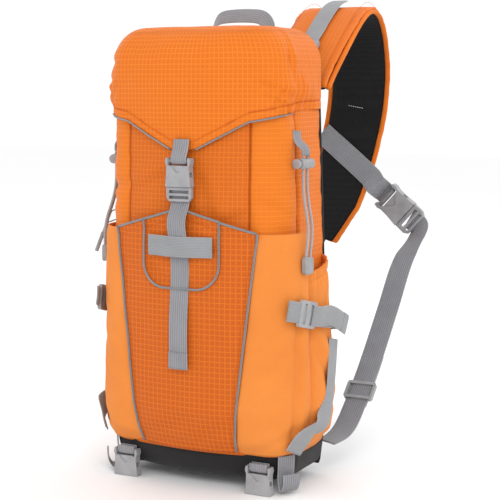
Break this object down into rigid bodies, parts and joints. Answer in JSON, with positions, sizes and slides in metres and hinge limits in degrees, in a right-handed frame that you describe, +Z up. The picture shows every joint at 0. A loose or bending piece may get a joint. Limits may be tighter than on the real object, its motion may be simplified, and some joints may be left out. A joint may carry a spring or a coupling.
{
  "type": "sling daypack",
  "caption": "Top-loading sling daypack with a hinged buckled lid, stretch pockets, side zipper, drawcord locks and one padded shoulder strap.",
  "frame": {"origin": "the point under the top of the haul loop where a hook bears", "axes": "+Z up, -Y towards the front of the pack, +Y towards the wearer, +X the side that the stabiliser strap leaves from"},
  "size_m": [0.2709, 0.3626, 0.4843],
  "materials": {
    "shell_ripstop": "ripstop nylon",
    "pocket_ripstop": "ripstop nylon, darker",
    "softshell": "stretch woven",
    "black_fabric": "dense woven and mesh",
    "lining_fabric": "thin lining",
    "foam": "closed-cell foam",
    "frame_plastic": "stiff sheet",
    "grey_webbing": "ribbed webbing",
    "piping": "corded piping",
    "cord": "braided cord",
    "zipper": "coil zipper",
    "grey_rubber": "soft moulded",
    "grey_plastic": "moulded, satin"
  },
  "bodies": {
    "sack": {"back_pads": "black_fabric", "back_panel": "black_fabric", "base_boot": "black_fabric", "base_foam": "foam", "base_webbing": "grey_webbing", "collar_hem": "lining_fabric", "compression_straps": "grey_webbing", "cord_tabs": "grey_webbing", "corner_panels": "shell_ripstop", "frame_sheet": "frame_plastic", "front_buckle_male": "grey_plastic", "front_panel": "shell_ripstop", "front_pocket": "pocket_ripstop", "front_strap": "grey_webbing", "haul_loop": "grey_webbing", "hydration_sleeve": "lining_fabric", "ladder_locks": "grey_plastic", "left_cord_end": "grey_rubber", "left_drawcord": "cord", "left_flank": "softshell", "left_side_pocket": "softshell", "load_lifter_lock": "grey_plastic", "load_lifter_webbing": "grey_webbing", "lower_strap_webbing": "grey_webbing", "lumbar_pad": "black_fabric", "pocket_piping": "piping", "pocket_top_binding": "piping", "pole_straps": "grey_webbing", "right_cord_end": "grey_rubber", "right_drawcord": "cord", "right_flank": "softshell", "right_side_pocket": "softshell", "shoulder_strap_lining": "black_fabric", "shoulder_strap_pad": "shell_ripstop", "side_panels": "shell_ripstop", "side_zipper": "zipper", "stabiliser_band": "grey_webbing", "stabiliser_webbing": "grey_webbing", "strap_buckle_female": "grey_plastic", "strap_buckle_male": "grey_plastic", "strap_keeper": "grey_webbing", "triglide": "grey_plastic"},
    "lid": {"lid": "shell_ripstop", "lid_tab": "grey_webbing", "front_buckle_female": "grey_plastic"},
    "front_buckle_right_arm": {"front_buckle_right_arm": "grey_plastic"},
    "front_buckle_left_arm": {"front_buckle_left_arm": "grey_plastic"},
    "strap_buckle_right_arm": {"strap_buckle_right_arm": "grey_plastic"},
    "strap_buckle_left_arm": {"strap_buckle_left_arm": "grey_plastic"},
    "right_cord_lock": {"right_cord_lock": "grey_plastic"},
    "left_cord_lock": {"left_cord_lock": "grey_plastic"},
    "right_lock_plunger": {"right_lock_plunger": "grey_plastic"},
    "left_lock_plunger": {"left_lock_plunger": "grey_plastic"},
    "right_accessory_buckle": {"right_accessory_buckle": "grey_plastic"},
    "left_accessory_buckle": {"left_accessory_buckle": "grey_plastic"},
    "upper_slider": {"upper_slider": "zipper"},
    "lower_slider": {"lower_slider": "zipper"},
    "upper_zip_pull": {"upper_zip_pull": "grey_rubber"},
    "lower_zip_pull": {"lower_zip_pull": "grey_rubber"}
  },
  "joints": [
    {"name": "lid_hinge", "type": "hinge", "parent": "sack", "child": "lid", "pos_m": [0, -0.017, -0.02], "axis": [-1, 0, 0], "range_deg": [0, 100], "deforming": ["front_buckle_right_arm", "front_buckle_left_arm"]},
    {"name": "front_buckle_right_arm_flex", "type": "hinge", "parent": "sack", "child": "front_buckle_right_arm", "pos_m": [0.00785, -0.12929, -0.1708], "axis": [0, -1, 0], "range_deg": [0, 12], "stiffness_Nm_per_rad": 0.6},
    {"name": "front_buckle_left_arm_flex", "type": "hinge", "parent": "sack", "child": "front_buckle_left_arm", "pos_m": [-0.00785, -0.12929, -0.1708], "axis": [0, 1, 0], "range_deg": [0, 12], "stiffness_Nm_per_rad": 0.6},
    {"name": "strap_buckle_right_arm_flex", "type": "hinge", "parent": "sack", "child": "strap_buckle_right_arm", "pos_m": [0.10997, 0.21499, -0.21512], "axis": [0.0236, -0.9995, -0.0216], "range_deg": [0, 12], "stiffness_Nm_per_rad": 0.6},
    {"name": "strap_buckle_left_arm_flex", "type": "hinge", "parent": "sack", "child": "strap_buckle_left_arm", "pos_m": [0.09674, 0.21499, -0.22961], "axis": [-0.0236, 0.9995, 0.0216], "range_deg": [0, 12], "stiffness_Nm_per_rad": 0.6},
    {"name": "right_cord_lock_slide", "type": "slide", "parent": "sack", "child": "right_cord_lock", "axis": [0, 0, -1], "range_m": [0, 0.015]},
    {"name": "right_plunger_press", "type": "slide", "parent": "right_cord_lock", "child": "right_lock_plunger", "axis": [0.3, 0.9539, 0], "range_m": [0, 0.003], "stiffness_N_per_m": 300},
    {"name": "left_cord_lock_slide", "type": "slide", "parent": "sack", "child": "left_cord_lock", "axis": [0, 0, -1], "range_m": [0, 0.015]},
    {"name": "left_plunger_press", "type": "slide", "parent": "left_cord_lock", "child": "left_lock_plunger", "axis": [-0.3, 0.9539, 0], "range_m": [0, 0.003], "stiffness_N_per_m": 300},
    {"name": "right_accessory_buckle_swing", "type": "hinge", "parent": "sack", "child": "right_accessory_buckle", "pos_m": [0.07462, -0.10774, -0.4435], "axis": [-1, 0, 0], "range_deg": [0, 80]},
    {"name": "left_accessory_buckle_swing", "type": "hinge", "parent": "sack", "child": "left_accessory_buckle", "pos_m": [-0.07462, -0.10774, -0.4435], "axis": [-1, 0, 0], "range_deg": [0, 80]},
    {"name": "upper_slider_run", "type": "slide", "parent": "sack", "child": "upper_slider", "axis": [0.0382, 0, 0.9993], "range_m": [0, 0.074]},
    {"name": "upper_pull_swing", "type": "hinge", "parent": "upper_slider", "child": "upper_zip_pull", "pos_m": [-0.10422, -0.057, -0.1984], "axis": [0, 1, 0], "range_deg": [-12, 40]},
    {"name": "lower_slider_run", "type": "slide", "parent": "sack", "child": "lower_slider", "axis": [-0.0382, 0, -0.9993], "range_m": [0, 0.036]},
    {"name": "lower_pull_swing", "type": "hinge", "parent": "lower_slider", "child": "lower_zip_pull", "pos_m": [-0.10464, -0.057, -0.2096], "axis": [0, 1, 0], "range_deg": [-12, 40]}
  ]
}
